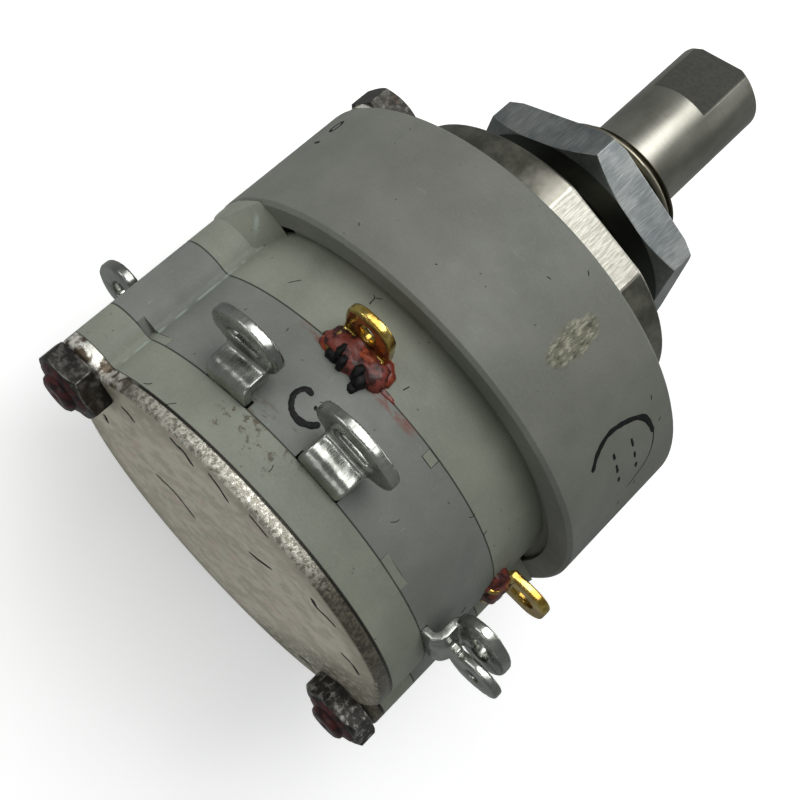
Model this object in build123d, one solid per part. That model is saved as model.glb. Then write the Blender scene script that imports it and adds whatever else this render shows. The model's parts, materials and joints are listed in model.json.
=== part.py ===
"""Miniature enclosed rotary selector switch.

Frame, in millimetres: the origin is the centre of the flange face that seats on the panel. The shaft
points along -Y, the decks and the rear plate lie along +Y, +Z is up, and the tie bolts lie on the X axis.
Angles are about the shaft, in degrees, from +X towards +Z. Stations are distances along Y.
"""
import math
import os

from build123d import *

# ---- stations along the shaft ----
SHAFT_TIP = -18.7
FLAT_REAR = -14.0
RELIEF_FRONT = -8.1
RELIEF_REAR = -1.0
BUSHING_FRONT = -7.94
NUT_REAR = -2.85
HOUSING_FRONT = 4.1
CAVITY_FRONT = 5.7
SHOULDER_REAR = 7.15
WHEEL_REAR = 10.05
RING_REAR = 10.45
COVER_FRONT = 11.7
COVER_REAR = 12.6
HOUSING_REAR = 12.9
FRONT_SEAM = 16.5
FRONT_CHAMBER_REAR = 18.7
REAR_CHAMBER_FRONT = 19.7
REAR_SEAM = 21.8
DECK_REAR = 24.2
PLATE_REAR = 25.1

# ---- shaft and bushing ----
SHAFT_R = 3.175
RELIEF_R = 2.95
SHAFT_FLAT_DEPTH = 0.79
SHAFT_FLAT_ANGLE = 42.5
SHOULDER_R = 4.6
CORE_R = 2.4
CORE_FLATS = 3.8
JOURNAL_R = 1.5
JOURNAL_REAR = 23.4
RUNNING = 0.04
THREAD_R = 4.7625
BORE_R = SHAFT_R + RUNNING
FLANGE_R = 10.0
FLANGE_FLATS = 19.05
FLANGE_FLAT_ANGLE = 79.0
SPIGOT_R = 5.4

# ---- panel nut ----
NUT_FLATS = 14.29
NUT_THICKNESS = 2.38
NUT_CORNER_ANGLE = 57.0

# ---- housing and detent ----
HOUSING_R = 13.97
COVER_R = 12.45
CARRIER_R = 10.3
CARRIER_BORE_R = 5.9
HUB_CLEARANCE_R = 3.5
POSITIONS = 12
PITCH = 360 / POSITIONS
WHEEL_R = 5.6
BALL_R = 1.19
BALL_ORBIT = 6.2
BALL_STATION = (SHOULDER_REAR + WHEEL_REAR) / 2
POCKET_R = 1.25
SPRING_WIRE_R = 0.13
SPRING_R = 0.9
SPRING_TURNS = 5
SPRING_INNER = 7.2
SPRING_OUTER = 10.15

# ---- decks, plate and tie bolts ----
DECK_R = 11.8
EAR_R = 1.95
EAR_FOOT_R = 3.1
EAR_FOOT_DEPTH = 1.6
BOLT_ORBIT = 12.0
BOLT_R = 1.09
BOLT_HOLE_R = 1.12
BOLT_REAR = 26.95
BOLT_HEAD_FLATS = 3.9
BOLT_HEAD_DEPTH = 1.6
BOLT_HEAD_CORNER_ANGLE = 34.0
WASHER_DEPTH = 0.4
TIE_NUT_FLATS = 4.0
TIE_NUT_DEPTH = 1.3
TIE_NUT_CORNER_ANGLES = (22.0, 38.0)
CHAMBER_R = 9.2

# ---- contacts ----
BLADE = 0.5
LEAD = 0.25
CONTACT_R = 6.4
COLLECTOR_R = 5.0
COLLECTOR_BORE_R = 3.9
WIPER = 0.3
WIPE_GAP = 0.04
ROTOR_R = 8.8
ROTOR_DEPTH = 0.95
SPACER_R = 3.3
RIVET_R = 0.35
RIVET_HEAD = 0.15
RIVET_ORBIT = 4.45
SLOT_WIDTH = 2.9
TAB_WIDTH = 2.1
TAB_LENGTH = 1.2
KEY_WIDTH = 0.76
FRONT_ANGLES = {"contact": 58.0, "common": 148.0}
FRONT_KEY_ANGLE = 88.0
LUG_ANGLES = {1: 43.0, 2: 73.0, 3: 133.0, 4: 343.0}
REAR_FIRST_ANGLE = 13.0
COMMON_LUG = 3
GOLD_WIDTH = 2.85
GOLD_HEAD_REAR = 15.6
GOLD_TOP = 14.85
GOLD_CORNER = 1.1
GOLD_BEND = 0.3
GOLD_HOLE_R = 13.35
LUG_WIDTH = 2.75
LUG_CLEARANCE = 0.6
LUG_BEND = 0.5
LUG_HEAD_REAR = 20.15
LUG_HEAD_DEPTH = 0.6
LUG_TOP = 15.75
LUG_HEAD_WIDTHS = {1: 4.5, 2: 5.0, 3: 4.7, 4: 5.0}
EAR_LUG_OFFSET = 1.4
EAR_LUG_REAR = 21.1


# ---- shape helpers ----
def slab(sketch, front, rear):
    """A sketch with X across and Z up, made solid between two stations."""
    return extrude(Plane.XZ.offset(-rear) * sketch, amount=rear - front)


def turned(radius, front, rear):
    """A cylinder about the shaft axis."""
    return slab(Circle(radius), front, rear)


def ring(outer, inner, front, rear):
    """A tube about the shaft axis."""
    return slab(Circle(outer) - Circle(inner), front, rear)


def cone(front_radius, rear_radius, front, rear):
    """A cone about the shaft axis."""
    ends = [Plane.XZ.offset(-front) * Circle(front_radius), Plane.XZ.offset(-rear) * Circle(rear_radius)]
    return loft(ends)


def turn(angle, shape):
    """A shape made at angle 0, moved round to another angle."""
    return Rot(0, -angle, 0) * shape


def at_bolts(shape):
    """One copy of a shape on each tie bolt, as a list."""
    return [Pos(side * BOLT_ORBIT, 0, 0) * shape for side in (1, -1)]


def hexagon(flats, corner_angle):
    """A hexagon by its size across flats."""
    return RegularPolygon(flats / 2, 6, major_radius=False, rotation=corner_angle)


def hex_piece(flats, corner_angle, front, rear, front_bevel, rear_bevel):
    """A hexagonal prism with its corners turned down at 30 degrees at both ends."""
    corner_r = flats / math.sqrt(3)
    front_r, rear_r = (corner_r - bevel * math.sqrt(3) for bevel in (front_bevel, rear_bevel))
    blank = cone(front_r, corner_r, front, front + front_bevel)
    blank += turned(corner_r, front + front_bevel, rear - rear_bevel)
    blank += cone(corner_r, rear_r, rear - rear_bevel, rear)
    return slab(hexagon(flats, corner_angle), front, rear) & blank


def keyed(radius, flats, gap=0.0):
    """The shaft core's section, round with two flats."""
    return Circle(radius + gap) & Rectangle(flats + 2 * gap, 2 * radius + 2)


def eared(radius):
    """A disc with a bolt ear at each end of the X axis, with both bolt holes."""
    outline = Circle(radius) + [Pos(side * BOLT_ORBIT, 0) * Circle(EAR_R) for side in (1, -1)]
    outline = fillet(outline.vertices(), 0.45)
    return outline - [Pos(side * BOLT_ORBIT, 0) * Circle(BOLT_HOLE_R) for side in (1, -1)]


def channel(angle, width, inner, outer, front, rear):
    """A block that lies along a radius, from one radius to another."""
    middle = Pos((inner + outer) / 2, 0) * Rectangle(outer - inner, width)
    return turn(angle, slab(middle, front, rear))


# ---- bushing, nut and housing ----
def bushing():
    """Threaded barrel with its flange, two wrench flats and the spigot in the housing."""
    flange = turned(FLANGE_R, 0, HOUSING_FRONT)
    flange = chamfer(flange.edges().filter_by(GeomType.CIRCLE).group_by(Axis.Y)[0], 0.2)
    across = Rot(0, 0, FLANGE_FLAT_ANGLE) * Rectangle(FLANGE_FLATS, 2 * FLANGE_R + 2)
    flange &= slab(across, 0, HOUSING_FRONT)
    barrel = turned(THREAD_R, BUSHING_FRONT, 0)
    barrel = chamfer(barrel.edges().group_by(Axis.Y)[0], 0.4)
    spigot = turned(SPIGOT_R, HOUSING_FRONT, CAVITY_FRONT)
    return flange + barrel + spigot - turned(BORE_R, BUSHING_FRONT, CAVITY_FRONT)


def panel_nut():
    """Hex nut on the barrel, in front of the flange."""
    front = NUT_REAR - NUT_THICKNESS
    nut = hex_piece(NUT_FLATS, NUT_CORNER_ANGLE, front, NUT_REAR, 0.25, 0.6)
    return nut - turned(THREAD_R + RUNNING, front, NUT_REAR)


def detent_housing():
    """Cup that holds the detent, open at the rear, with the tie bolts through its wall."""
    cup = turned(HOUSING_R, HOUSING_FRONT, HOUSING_REAR)
    cup = chamfer(cup.edges().filter_by(GeomType.CIRCLE), 0.22)
    cup -= turned(SPIGOT_R, HOUSING_FRONT, CAVITY_FRONT)
    cup -= turned(CARRIER_R, CAVITY_FRONT, COVER_FRONT)
    cup -= turned(COVER_R, COVER_FRONT, HOUSING_REAR)
    return cup - at_bolts(turned(BOLT_HOLE_R, HOUSING_FRONT, HOUSING_REAR))


def detent_cover():
    """Disc that closes the cup, notched at its edge for the bolts and for a locating key."""
    disc = ring(COVER_R, HUB_CLEARANCE_R, COVER_FRONT, COVER_REAR)
    disc -= at_bolts(turned(BOLT_HOLE_R, COVER_FRONT, COVER_REAR))
    return disc - channel(13.5, 1.4, DECK_R - 0.5, COVER_R + 1, COVER_FRONT, COVER_REAR)


# ---- detent ----
def ball_bore(side):
    """Radial bore for one ball and its spring, above or below the shaft."""
    bore = Cylinder(POCKET_R, CARRIER_R, align=(Align.CENTER, Align.CENTER, Align.MIN))
    return Pos(0, BALL_STATION, 0) * (bore if side > 0 else Rot(180, 0, 0) * bore)


def ball_carrier():
    """Ring that guides the two detent balls and their springs."""
    body = ring(CARRIER_R, CARRIER_BORE_R, CAVITY_FRONT, COVER_FRONT)
    return body - ball_bore(1) - ball_bore(-1)


def detent_wheel():
    """Wheel with one groove for each position, in mesh with the balls at rest."""
    wheel = turned(WHEEL_R, SHOULDER_REAR, WHEEL_REAR)
    groove = Pos(0, 0, BALL_ORBIT) * turned(POCKET_R, SHOULDER_REAR, WHEEL_REAR)
    for position in range(POSITIONS):
        wheel -= turn(position * PITCH, groove)
    return wheel - slab(keyed(CORE_R, CORE_FLATS), SHOULDER_REAR, WHEEL_REAR)


def detent_ball(side):
    """One ball, seated in a groove."""
    return Pos(0, BALL_STATION, side * BALL_ORBIT) * Sphere(BALL_R)


def detent_spring(side):
    """Coil spring behind one ball."""
    length = SPRING_OUTER - SPRING_INNER
    start = SPRING_INNER if side > 0 else -SPRING_OUTER
    coil = Helix(length / SPRING_TURNS, length, SPRING_R, center=(0, BALL_STATION, start))
    wire = Plane(coil @ 0, z_dir=coil % 0) * Circle(SPRING_WIRE_R)
    return sweep(wire, path=coil, is_frenet=True)


# ---- shaft and what turns with it ----
def shaft():
    """Stepped shaft with a flat at its tip, a shoulder, a double-flat core and a rear journal."""
    tip = turned(SHAFT_R, SHAFT_TIP, RELIEF_FRONT)
    tip = chamfer(tip.edges().group_by(Axis.Y)[0], 0.35)
    flat_centre = 2 * SHAFT_R - SHAFT_FLAT_DEPTH
    flat = slab(Pos(flat_centre, 0) * Rectangle(2 * SHAFT_R, 3 * SHAFT_R), SHAFT_TIP, FLAT_REAR)
    tip -= turn(SHAFT_FLAT_ANGLE, flat)
    body = tip + turned(RELIEF_R, RELIEF_FRONT, RELIEF_REAR)
    body += turned(SHAFT_R, RELIEF_REAR, SHOULDER_REAR)
    body += turned(SHOULDER_R, CAVITY_FRONT + 0.35, SHOULDER_REAR)
    body += slab(keyed(CORE_R, CORE_FLATS), SHOULDER_REAR, REAR_SEAM - 0.8)
    body += turned(JOURNAL_R, REAR_SEAM - 0.8, JOURNAL_REAR)
    return body - ring(CORE_R + 1, CORE_R - 0.4, WHEEL_REAR, RING_REAR)


def retaining_ring():
    """Open ring in the shaft's groove, behind the detent wheel."""
    gap = Pos(SPACER_R, 0) * Rectangle(2 * SPACER_R, 1.8)
    return slab(Circle(SPACER_R + 0.3) - Circle(CORE_R - 0.4) - gap, WHEEL_REAR, RING_REAR)


def thrust_washer():
    """Washer between the bushing and the shaft's shoulder."""
    return ring(SPIGOT_R - 0.2, BORE_R + 0.03, CAVITY_FRONT, CAVITY_FRONT + 0.3)


def spacer(front, rear):
    """Sleeve on the shaft's core."""
    return slab(Circle(SPACER_R) - keyed(CORE_R, CORE_FLATS), front, rear)


def at_rivets(angle, shape):
    """One copy of a shape on each of a wiper's two rivets, square to its arm, as a list."""
    return [turn(angle + side * 90, Pos(RIVET_ORBIT, 0, 0) * shape) for side in (1, -1)]


def rotor_disc(angle, front):
    """Insulating disc that carries a wiper."""
    rear = front + ROTOR_DEPTH
    disc = slab(Circle(ROTOR_R) - keyed(CORE_R, CORE_FLATS), front, rear)
    return disc - at_rivets(angle, turned(RIVET_R, front, rear))


def wiper(angle, front):
    """Contact ring with an arm that reaches the fixed contacts."""
    arm = Pos((COLLECTOR_R + ROTOR_R) / 2 - 0.4, 0) * Rectangle(ROTOR_R - COLLECTOR_R + 0.4, 1.8)
    plate = slab(Circle(COLLECTOR_R) + arm - Circle(COLLECTOR_BORE_R), front, front + WIPER)
    return turn(angle, plate) - at_rivets(angle, turned(RIVET_R, front, front + WIPER))


def wiper_rivets(angle, front, rear, head_front):
    """The two rivets that hold a wiper on its disc, with their heads on the disc's far face."""
    rivet = turned(RIVET_R, front, rear) + turned(1.7 * RIVET_R, head_front, head_front + RIVET_HEAD)
    return Compound(children=at_rivets(angle, rivet))


# ---- decks and plate ----
def front_deck():
    """Deck inside the housing's rim, with flared feet under its ears and a small locating key."""
    deck = slab(eared(DECK_R), HOUSING_REAR, FRONT_SEAM) + turned(DECK_R, COVER_REAR, HOUSING_REAR)
    feet = at_bolts(cone(EAR_FOOT_R, EAR_R, HOUSING_REAR, HOUSING_REAR + EAR_FOOT_DEPTH))
    deck += [foot & turned(HOUSING_R - 0.05, HOUSING_REAR, FRONT_SEAM) for foot in feet]
    deck -= at_bolts(turned(BOLT_HOLE_R, COVER_REAR, FRONT_SEAM))
    deck -= turned(HUB_CLEARANCE_R, COVER_REAR, FRONT_SEAM)
    tab_r = DECK_R - TAB_LENGTH
    deck += channel(FRONT_KEY_ANGLE, KEY_WIDTH, tab_r, DECK_R - 0.03, FRONT_SEAM - 0.5, FRONT_SEAM + 0.55)
    return deck - lead_groove(FRONT_ANGLES["common"], FRONT_SEAM - LEAD, FRONT_SEAM)


def lead_groove(angle, front, rear):
    """Shallow groove that takes a common lead past the fixed contacts."""
    return channel(angle, 1.4, COLLECTOR_R - 0.8, CHAMBER_R + 0.8, front, rear)


def middle_deck():
    """Deck between the two seams, hollow on both sides for the rotors, with slots for the terminals."""
    deck = slab(eared(DECK_R), FRONT_SEAM, REAR_SEAM)
    deck -= turned(CHAMBER_R, FRONT_SEAM, FRONT_CHAMBER_REAR)
    deck -= turned(CHAMBER_R, REAR_CHAMBER_FRONT, REAR_SEAM)
    deck -= turned(HUB_CLEARANCE_R, FRONT_CHAMBER_REAR, REAR_CHAMBER_FRONT)
    for angle in FRONT_ANGLES.values():
        deck -= channel(angle, SLOT_WIDTH, CHAMBER_R - 0.5, DECK_R + 1, FRONT_SEAM, FRONT_SEAM + BLADE)
    key_width = KEY_WIDTH + 0.06
    deck -= channel(FRONT_KEY_ANGLE, key_width, CHAMBER_R - 0.5, DECK_R + 1, FRONT_SEAM, FRONT_SEAM + 0.6)
    for position in range(POSITIONS):
        angle = REAR_FIRST_ANGLE + position * PITCH
        deck -= channel(angle, slot_width(angle), CHAMBER_R - 0.5, DECK_R + 1, REAR_SEAM - BLADE, REAR_SEAM)
    return deck


def slot_width(angle):
    """A slot is as wide as the lug in it, or as the tab that fills it."""
    return SLOT_WIDTH if angle in LUG_ANGLES.values() else TAB_WIDTH + 0.06


def rear_deck():
    """Deck behind the rear seam, with the shaft's rear bearing and a tab in each empty slot."""
    deck = slab(eared(DECK_R), REAR_SEAM, DECK_REAR)
    deck -= turned(JOURNAL_R + RUNNING, REAR_SEAM, JOURNAL_REAR + 0.2)
    for position in range(POSITIONS):
        angle = REAR_FIRST_ANGLE + position * PITCH
        if angle not in LUG_ANGLES.values():
            tab_r = DECK_R - TAB_LENGTH
            tab = channel(angle, TAB_WIDTH, tab_r, DECK_R - 0.03, REAR_SEAM - BLADE, REAR_SEAM + 0.5)
            deck += tab
    return deck - lead_groove(LUG_ANGLES[COMMON_LUG], REAR_SEAM, REAR_SEAM + LEAD)


def rear_plate():
    """Metal plate on the rear deck, with its rear rim rounded."""
    plate = slab(eared(DECK_R), DECK_REAR, PLATE_REAR)
    rim = plate.faces().sort_by(Axis.Y)[-1].outer_wire().edges()
    return fillet(rim, 0.35)


# ---- tie bolts ----
def tie_bolts():
    """Two hex-head bolts, from the housing's front face to behind the rear plate."""
    head_rear = HOUSING_FRONT - WASHER_DEPTH
    head_front = head_rear - BOLT_HEAD_DEPTH
    head = hex_piece(BOLT_HEAD_FLATS, BOLT_HEAD_CORNER_ANGLE, head_front, head_rear, 0.2, 0.1)
    shank = chamfer(turned(BOLT_R, head_rear, BOLT_REAR).edges().group_by(Axis.Y)[-1], 0.2)
    return Compound(children=at_bolts(head + shank))


def tie_washers():
    """Plain washer under each bolt head."""
    return Compound(children=at_bolts(ring(EAR_R, BOLT_HOLE_R, HOUSING_FRONT - WASHER_DEPTH, HOUSING_FRONT)))


def tie_nuts():
    """Hex nut on each bolt, behind the rear plate."""
    nuts = []
    for side, angle in zip((1, -1), TIE_NUT_CORNER_ANGLES):
        nut = hex_piece(TIE_NUT_FLATS, angle, PLATE_REAR, PLATE_REAR + TIE_NUT_DEPTH, 0.1, 0.2)
        nut -= turned(BOLT_R, PLATE_REAR, PLATE_REAR + TIE_NUT_DEPTH)
        nuts.append(Pos(side * BOLT_ORBIT, 0, 0) * nut)
    return Compound(children=nuts)


# ---- terminals ----
def bent_strip(points, width, bend):
    """A strip along a path of (radius, station) points, with its bends rounded."""
    path = FilletPolyline(*points, radius=bend)
    return extrude(trace(path, line_width=BLADE), amount=width / 2, both=True)


def inner_end(width, station, common):
    """The strip's end in the chamber: a contact pad, or a thin lead to a collector ring."""
    front, rear = station - BLADE / 2, station + BLADE / 2
    if not common:
        pad = Pos((CONTACT_R + CHAMBER_R) / 2, 0) * Rectangle(CHAMBER_R - CONTACT_R + 0.6, width - 0.5)
        return slab(pad, front, rear)
    lead_front, lead_rear = common
    lead = Pos((COLLECTOR_R + CHAMBER_R) / 2, 0) * Rectangle(CHAMBER_R - COLLECTOR_R + 1.2, 1.2)
    lead = slab(lead, lead_front, lead_rear)
    return lead + ring(COLLECTOR_R, COLLECTOR_BORE_R, front, rear)


def gold_terminal(common):
    """Short terminal at the front seam, with a D-shaped head that stands out from the deck."""
    station = FRONT_SEAM + BLADE / 2
    neck_r = DECK_R + BLADE / 2 + 0.05
    head_station = GOLD_HEAD_REAR - BLADE / 2
    tip_r = neck_r + GOLD_BEND
    path = [(CHAMBER_R, station), (neck_r, station), (neck_r, head_station), (tip_r, head_station)]
    strip = bent_strip(path, GOLD_WIDTH - 0.2, GOLD_BEND)
    middle = (neck_r + GOLD_TOP) / 2
    head = Pos(middle, 0) * RectangleRounded(GOLD_TOP - neck_r, GOLD_WIDTH, GOLD_CORNER)
    head += Pos(neck_r + GOLD_CORNER / 2, 0) * Rectangle(GOLD_CORNER, GOLD_WIDTH)
    head -= Pos(GOLD_HOLE_R, 0) * Ellipse(0.75, 0.55)
    lead = (FRONT_SEAM - LEAD, FRONT_SEAM + LEAD) if common else None
    head = slab(head, GOLD_HEAD_REAR - BLADE, GOLD_HEAD_REAR)
    return strip + head + inner_end(GOLD_WIDTH - 0.2, station, lead)


def solder_lug(head_width, common, ear):
    """Terminal at the rear seam, bent forward over the middle deck, with an oval eyelet for a head."""
    station = REAR_SEAM - BLADE / 2
    neck_r = DECK_R + LUG_CLEARANCE + BLADE / 2
    head_station = LUG_HEAD_REAR - BLADE / 2
    tip_r = neck_r + 2 * LUG_BEND
    path = [(CHAMBER_R, station), (neck_r, station), (neck_r, head_station), (tip_r, head_station)]
    lug = bent_strip(path, LUG_WIDTH, LUG_BEND)
    low = neck_r - BLADE / 2
    head = Ellipse((LUG_TOP - low) / 2, head_width / 2) - Ellipse(0.6, head_width / 4)
    lug += slab(Pos((LUG_TOP + low) / 2, 0) * head, LUG_HEAD_REAR - LUG_HEAD_DEPTH, LUG_HEAD_REAR)
    if ear:
        outline = Pos(LUG_TOP - 1.4, EAR_LUG_OFFSET) * (Ellipse(1.65, 1.25) - Circle(0.42))
        outline += Pos(neck_r + 0.35, LUG_WIDTH / 4) * Rectangle(0.9, LUG_WIDTH / 2)
        lug += slab(outline, EAR_LUG_REAR - BLADE, EAR_LUG_REAR)
    lead = (REAR_SEAM - LEAD, REAR_SEAM + LEAD) if common else None
    return lug + inner_end(LUG_WIDTH, station, lead)


# ---- the assembly ----
front_wiper = FRONT_SEAM + BLADE + WIPE_GAP
front_rotor = front_wiper + WIPER
front_rotor_rear = front_rotor + ROTOR_DEPTH
rear_wiper_rear = REAR_SEAM - BLADE - WIPE_GAP
rear_wiper = rear_wiper_rear - WIPER
rear_rotor = rear_wiper - ROTOR_DEPTH
front_arm = FRONT_ANGLES["contact"]
rear_arm = LUG_ANGLES[1]

nodes = {
    "bushing": bushing(),
    "panel_nut": panel_nut(),
    "detent_housing": detent_housing(),
    "detent_cover": detent_cover(),
    "ball_carrier": ball_carrier(),
    "detent_wheel": detent_wheel(),
    "detent_ball_upper": detent_ball(1),
    "detent_ball_lower": detent_ball(-1),
    "detent_spring_upper": detent_spring(1),
    "detent_spring_lower": detent_spring(-1),
    "shaft": shaft(),
    "retaining_ring": retaining_ring(),
    "thrust_washer": thrust_washer(),
    "front_spacer": spacer(RING_REAR, front_rotor),
    "middle_spacer": spacer(front_rotor_rear, rear_rotor),
    "front_rotor_disc": rotor_disc(front_arm, front_rotor),
    "rear_rotor_disc": rotor_disc(rear_arm, rear_rotor),
    "front_wiper": wiper(front_arm, front_wiper),
    "rear_wiper": wiper(rear_arm, rear_wiper),
    "front_wiper_rivets": wiper_rivets(front_arm, front_wiper, front_rotor_rear, front_rotor_rear),
    "rear_wiper_rivets": wiper_rivets(rear_arm, rear_rotor, rear_wiper_rear, rear_rotor - RIVET_HEAD),
    "front_deck": front_deck(),
    "middle_deck": middle_deck(),
    "rear_deck": rear_deck(),
    "rear_plate": rear_plate(),
    "tie_bolts": tie_bolts(),
    "tie_washers": tie_washers(),
    "tie_nuts": tie_nuts(),
    "gold_terminal_contact": turn(front_arm, gold_terminal(False)),
    "gold_terminal_common": turn(FRONT_ANGLES["common"], gold_terminal(True)),
}
for number, angle in LUG_ANGLES.items():
    common = number == COMMON_LUG
    nodes[f"solder_lug_{number}"] = turn(angle, solder_lug(LUG_HEAD_WIDTHS[number], common, common))

os.makedirs("parts", exist_ok=True)
for name, shape in nodes.items():
    export_step(shape, f"parts/{name}.step")
    print(f"{name}: {len(shape.solids())} solids, {shape.volume:.2f} mm3")
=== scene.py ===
"""Looks of the rotary selector switch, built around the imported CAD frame.

Lengths in this script are millimetres until a mesh or a light is made, which is in metres. The shaft lies
along Y, its tip towards -Y. Angles are about the shaft, in degrees, from +X towards +Z.
"""
import json
import math
import random

import bmesh
import bpy
from mathutils import Matrix, Vector, noise


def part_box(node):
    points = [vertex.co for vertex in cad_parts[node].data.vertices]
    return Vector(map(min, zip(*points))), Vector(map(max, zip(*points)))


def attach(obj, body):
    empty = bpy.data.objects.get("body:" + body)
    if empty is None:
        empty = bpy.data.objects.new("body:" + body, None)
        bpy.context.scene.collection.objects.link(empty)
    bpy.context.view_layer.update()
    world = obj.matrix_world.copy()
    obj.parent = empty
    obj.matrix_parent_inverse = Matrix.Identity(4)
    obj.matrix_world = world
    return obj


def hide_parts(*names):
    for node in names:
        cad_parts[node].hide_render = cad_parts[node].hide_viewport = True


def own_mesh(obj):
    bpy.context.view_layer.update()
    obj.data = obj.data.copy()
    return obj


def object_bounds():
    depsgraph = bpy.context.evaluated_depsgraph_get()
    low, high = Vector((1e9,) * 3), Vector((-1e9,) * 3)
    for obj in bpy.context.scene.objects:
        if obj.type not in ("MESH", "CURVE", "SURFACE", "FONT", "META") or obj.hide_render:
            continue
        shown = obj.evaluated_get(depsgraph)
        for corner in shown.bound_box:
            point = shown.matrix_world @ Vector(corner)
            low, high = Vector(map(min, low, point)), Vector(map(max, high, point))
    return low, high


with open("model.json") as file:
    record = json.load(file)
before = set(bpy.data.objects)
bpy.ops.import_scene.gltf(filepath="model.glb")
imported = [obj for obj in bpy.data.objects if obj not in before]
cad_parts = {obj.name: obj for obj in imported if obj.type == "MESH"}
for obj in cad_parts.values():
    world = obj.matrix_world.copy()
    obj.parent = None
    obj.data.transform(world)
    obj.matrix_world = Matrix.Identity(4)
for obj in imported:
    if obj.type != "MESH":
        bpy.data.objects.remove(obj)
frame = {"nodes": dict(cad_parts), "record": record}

cad_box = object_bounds()
MM = 0.001
node = frame["nodes"]


def edge(name, axis, side):
    """One face of a CAD node's box, in millimetres: axis 0, 1 or 2 and side 0 (low) or 1 (high)."""
    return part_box(name)[side][axis] / MM


# ---- driving places, read from the frame ----
HOUSING_R = edge("detent_housing", 2, 1)
DECK_R = edge("middle_deck", 2, 1)
FLANGE_REAR = edge("detent_housing", 1, 0)
HOUSING_REAR = edge("detent_housing", 1, 1)
FRONT_SEAM = edge("middle_deck", 1, 0)
REAR_SEAM = edge("middle_deck", 1, 1)
PLATE_FRONT = edge("rear_plate", 1, 0)
PLATE_REAR = edge("rear_plate", 1, 1)
BARREL_FRONT = edge("bushing", 1, 0)
STUB_REAR = edge("tie_bolts", 1, 1)
NUT_REAR = edge("tie_nuts", 1, 1)
BOLT_X = 12.0
SHAFT_R = 3.175
THREAD_R = 4.7625
FLANGE_R = 10.0
FLANGE_FLATS = 19.05
FLANGE_FLAT_DEGREES = 79
FLAT_HALF_DEGREES = math.degrees(math.acos(FLANGE_FLATS / 2 / FLANGE_R))
GOLD_TERMINALS = ("gold_terminal_contact", "gold_terminal_common")
SOLDER_LUGS = ("solder_lug_1", "solder_lug_2", "solder_lug_3", "solder_lug_4")


# ---- camera, floor and light ----
CAMERA_PLACE = Vector((25.764, 36.673, 68.549)) * MM
CAMERA_FORWARD = Vector((-0.28617, -0.36414, -0.88629))
CAMERA_UP = Vector((0.78422, -0.62048, 0.00172))
FOCAL_PIXELS = 1346.3
IMAGE_SIDE = 800
HORIZON_SHIFT = -0.125
SENSOR = 36.0
FLOOR_SIDE_M = 4
FLOOR_GAP_M = 0.0002
FLOOR_SHADE = 0.92
FLOOR_GLOW = 0.35
SURROUND = 0.25
LIGHT_TARGET = Vector((0, 8, 0))
LIGHTS = (
    # name, place in mm, side in mm, power in watts
    ("key", (88, -70, 204), 180, 0.42),
    ("rear_fill", (60, 220, 120), 120, 0.045),
    ("side_fill", (200, 60, 110), 90, 0.06),
    ("front_fill", (-70, -220, 70), 120, 0.09),
)


def make_camera():
    """Camera at the picture's viewing angle, looking down on the switch from behind its rear plate."""
    data = bpy.data.cameras.new("camera")
    data.sensor_width = SENSOR
    data.lens = FOCAL_PIXELS / IMAGE_SIDE * SENSOR
    data.shift_y = HORIZON_SHIFT
    data.clip_start = 0.005
    data.clip_end = 5
    camera = bpy.data.objects.new("camera", data)
    right = CAMERA_FORWARD.cross(CAMERA_UP).normalized()
    up = right.cross(CAMERA_FORWARD).normalized()
    turn = Matrix((right, up, -CAMERA_FORWARD)).transposed().to_4x4()
    camera.matrix_world = Matrix.Translation(CAMERA_PLACE) @ turn
    bpy.context.scene.collection.objects.link(camera)
    bpy.context.scene.camera = camera


def area_light(name, place, size, power):
    """A square soft light, aimed at the middle of the switch."""
    data = bpy.data.lights.new(name, "AREA")
    data.size = size * MM
    data.energy = power
    light = bpy.data.objects.new(name, data)
    light.location = Vector(place) * MM
    aim = LIGHT_TARGET * MM - light.location
    light.rotation_euler = aim.to_track_quat("-Z", "Y").to_euler()
    bpy.context.scene.collection.objects.link(light)


def make_floor(low):
    """A plain pale floor under the switch, kept out of the metal's reflections."""
    bpy.ops.mesh.primitive_plane_add(size=FLOOR_SIDE_M, location=(0, 0, low))
    floor = bpy.context.object
    floor.name = "floor"
    floor.visible_glossy = False
    material = bpy.data.materials.new("floor_pale")
    material.use_nodes = True
    shader = material.node_tree.nodes["Principled BSDF"]
    shader.inputs["Base Color"].default_value = (FLOOR_SHADE, FLOOR_SHADE, FLOOR_SHADE, 1)
    shader.inputs["Emission Color"].default_value = (1, 1, 1, 1)
    shader.inputs["Emission Strength"].default_value = FLOOR_GLOW
    shader.inputs["Roughness"].default_value = 0.9
    shader.inputs["Specular IOR Level"].default_value = 0.1
    floor.data.materials.append(material)


def make_light():
    """Soft studio light: a dim even surround, a large key above the shaft side and three small fills."""
    world = bpy.data.worlds.new("studio")
    world.use_nodes = True
    background = world.node_tree.nodes["Background"]
    background.inputs["Color"].default_value = (0.96, 1.0, 0.98, 1)
    background.inputs["Strength"].default_value = SURROUND
    bpy.context.scene.world = world
    for name, place, size, power in LIGHTS:
        area_light(name, place, size, power)
    settings = bpy.context.scene.view_settings
    settings.view_transform = "Standard"
    settings.look = "None"


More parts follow.
